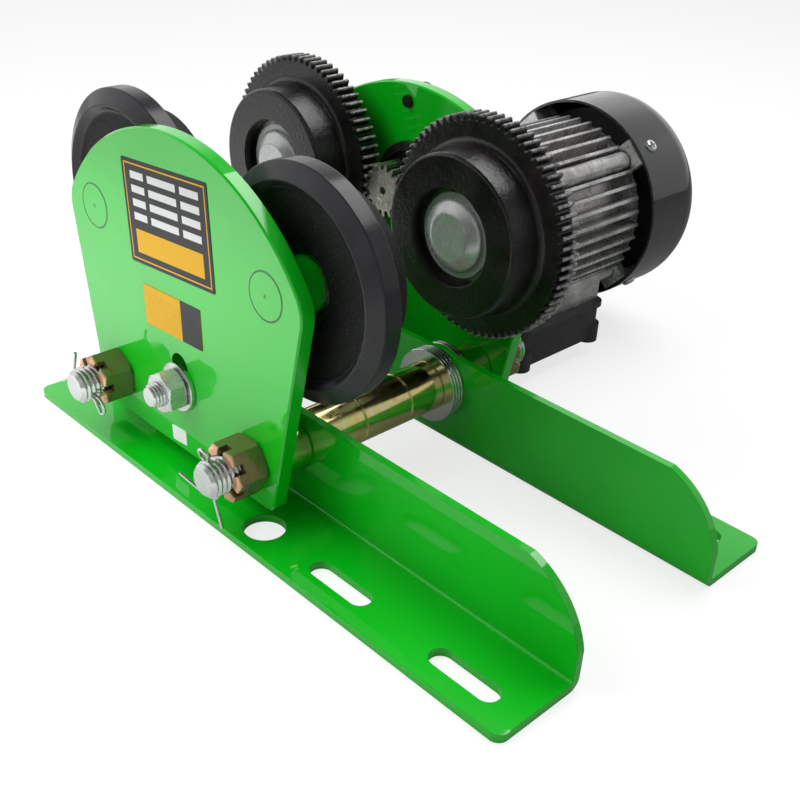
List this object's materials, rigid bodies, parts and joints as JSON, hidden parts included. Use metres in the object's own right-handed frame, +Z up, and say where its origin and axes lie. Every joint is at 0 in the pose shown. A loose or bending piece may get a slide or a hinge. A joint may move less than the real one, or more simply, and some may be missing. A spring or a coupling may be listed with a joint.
{
  "type": "motorized beam trolley",
  "caption": "Electric trolley that runs on the bottom flange of a beam: geared drive wheels with a motor on one side, flanged idler wheels on the other, and slotted brackets for a hoist.",
  "frame": {"origin": "midway between the axles along the beam, midway between the two angle brackets, at the level of the beam flange that the treads run on", "axes": "+X along the beam towards the long end of the brackets, +Y across the beam towards the motor, +Z up"},
  "size_m": [0.349, 0.369, 0.1755],
  "materials": {
    "green_paint": "gloss bright green paint",
    "black_cast": "black semi-gloss paint over rough casting",
    "black_gear": "oily black over cut teeth",
    "yellow_zinc": "yellow passivated zinc",
    "bright_zinc": "bright zinc",
    "bare_steel": "machined and oiled",
    "dark_screw": "black oxide",
    "raw_aluminium": "as cast, lightly wiped",
    "dark_casting": "dark casting with turned edges",
    "black_cover": "satin black paint on drawn sheet",
    "black_plastic": "moulded black plastic",
    "lamination": "stacked sheet steel",
    "copper": "enamelled winding",
    "pale_plastic": "moulded pale plastic"
  },
  "bodies": {
    "frame": {"near_side_plate": "green_paint", "far_side_plate": "green_paint", "near_angle_bracket": "green_paint", "far_angle_bracket": "green_paint", "tie_rod_left": "bright_zinc", "tie_rod_right": "bright_zinc", "castle_nuts": "yellow_zinc", "cotter_pins": "bright_zinc", "spacer_tubes": "yellow_zinc", "spacer_washers": "bright_zinc", "rod_sleeves": "yellow_zinc", "centre_bolt": "bright_zinc", "centre_nut": "bright_zinc", "centre_washers": "bright_zinc", "idler_axle_left": "green_paint", "idler_axle_right": "green_paint", "drive_axle_left": "green_paint", "drive_axle_right": "green_paint", "axle_end_caps": "bright_zinc", "axle_tab_washers": "bright_zinc", "wheel_bearing_inner_rings": "bare_steel", "gearbox_housing": "dark_casting", "gearbox_screws": "dark_screw", "pinion_bearing_outer_rings": "bare_steel", "front_end_shield": "raw_aluminium", "motor_frame": "raw_aluminium", "stator_core": "lamination", "stator_windings": "copper", "rear_end_shield": "raw_aluminium", "motor_tie_bolts": "bright_zinc", "fan_cover": "black_cover", "fan_cover_screws": "bright_zinc", "rotor_bearing_outer_rings": "bare_steel", "terminal_box": "black_plastic", "terminal_box_lid": "black_plastic", "lid_screws": "bright_zinc", "cable_gland": "black_plastic", "gland_locknut": "black_plastic", "terminal_block": "pale_plastic", "run_capacitor": "pale_plastic"},
    "left_idler": {"idler_wheel_left": "black_cast", "idler_left_bearing_ring": "bare_steel"},
    "right_idler": {"idler_wheel_right": "black_cast", "idler_right_bearing_ring": "bare_steel"},
    "left_drive": {"drive_wheel_left": "black_gear", "drive_left_bearing_ring": "bare_steel"},
    "right_drive": {"drive_wheel_right": "black_gear", "drive_right_bearing_ring": "bare_steel"},
    "pinion": {"pinion_shaft": "bare_steel", "output_gear": "bare_steel", "output_key": "bare_steel", "pinion_bearing_inner_rings": "bare_steel"},
    "rotor": {"rotor_shaft": "bare_steel", "rotor_core": "lamination", "cooling_fan": "black_plastic", "rotor_bearing_inner_rings": "bare_steel"}
  },
  "joints": [
    {"name": "idler_left_spin", "type": "hinge", "parent": "frame", "child": "left_idler", "pos_m": [-0.06675, -0.0485, 0.04], "axis": [0, 1, 0], "continuous": true},
    {"name": "idler_right_spin", "type": "hinge", "parent": "frame", "child": "right_idler", "pos_m": [0.06675, -0.0485, 0.04], "axis": [0, 1, 0], "continuous": true},
    {"name": "rotor_spin", "type": "hinge", "parent": "frame", "child": "rotor", "pos_m": [0.0047, 0.165, 0.0028], "axis": [0, 1, 0], "continuous": true},
    {"name": "pinion_spin", "type": "hinge", "parent": "frame", "child": "pinion", "pos_m": [0, 0.06, 0.04], "axis": [0, 1, 0], "continuous": true},
    {"name": "drive_left_spin", "type": "hinge", "parent": "frame", "child": "left_drive", "pos_m": [-0.06675, 0.048, 0.04], "axis": [0, 1, 0], "continuous": true},
    {"name": "drive_right_spin", "type": "hinge", "parent": "frame", "child": "right_drive", "pos_m": [0.06675, 0.048, 0.04], "axis": [0, 1, 0], "continuous": true}
  ],
  "couplings": [
    {"joint": "pinion_spin", "follows": "rotor_spin", "ratio": -0.25},
    {"joint": "drive_left_spin", "follows": "rotor_spin", "ratio": 0.059028},
    {"joint": "drive_right_spin", "follows": "rotor_spin", "ratio": 0.059028}
  ]
}
